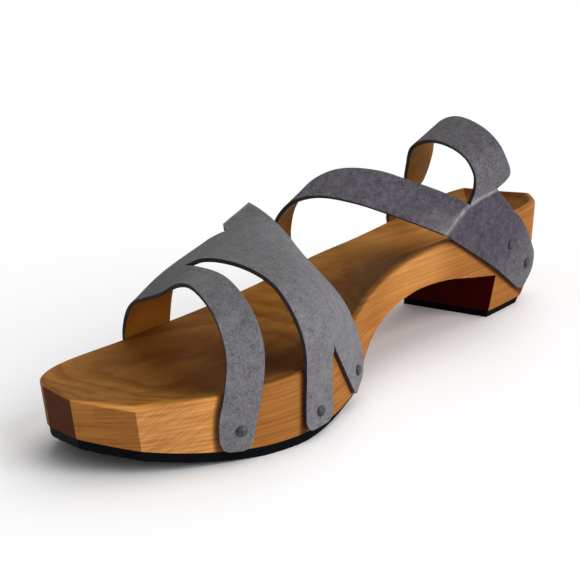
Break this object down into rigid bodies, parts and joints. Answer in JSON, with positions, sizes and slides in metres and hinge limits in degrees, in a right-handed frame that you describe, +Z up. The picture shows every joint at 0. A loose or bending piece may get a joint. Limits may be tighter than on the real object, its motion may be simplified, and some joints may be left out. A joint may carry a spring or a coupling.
{
  "type": "wooden-soled sandal",
  "caption": "Left wooden-soled sandal: dished wooden sole with block heel, arch and raised toe, thin rubber underfoot, and one leather upper of crossing straps nailed to the sides.",
  "frame": {"origin": "on the floor, under the middle of the sandal's length and width", "axes": "+X towards the toe, +Y towards the outer side of the left foot, +Z up"},
  "size_m": [0.251, 0.1032, 0.0891],
  "materials": {
    "wood": "oiled, satin, long grain along the foot",
    "rubber": "matt black",
    "leather": "grey suede outside, smooth brown lining inside, dark cut edges",
    "nail": "dull grey"
  },
  "bodies": {
    "root": {"wooden_sole": "wood", "forefoot_outsole": "rubber", "heel_lift": "rubber", "upper": "leather", "nail_front_strap": "nail", "nail_second_strap_a": "nail", "nail_second_strap_b": "nail", "nail_heel_low": "nail", "nail_heel_high": "nail", "nail_ball_inner_a": "nail", "nail_ball_inner_b": "nail", "nail_waist_inner_a": "nail", "nail_waist_inner_b": "nail", "nail_heel_inner": "nail"}
  },
  "joints": []
}
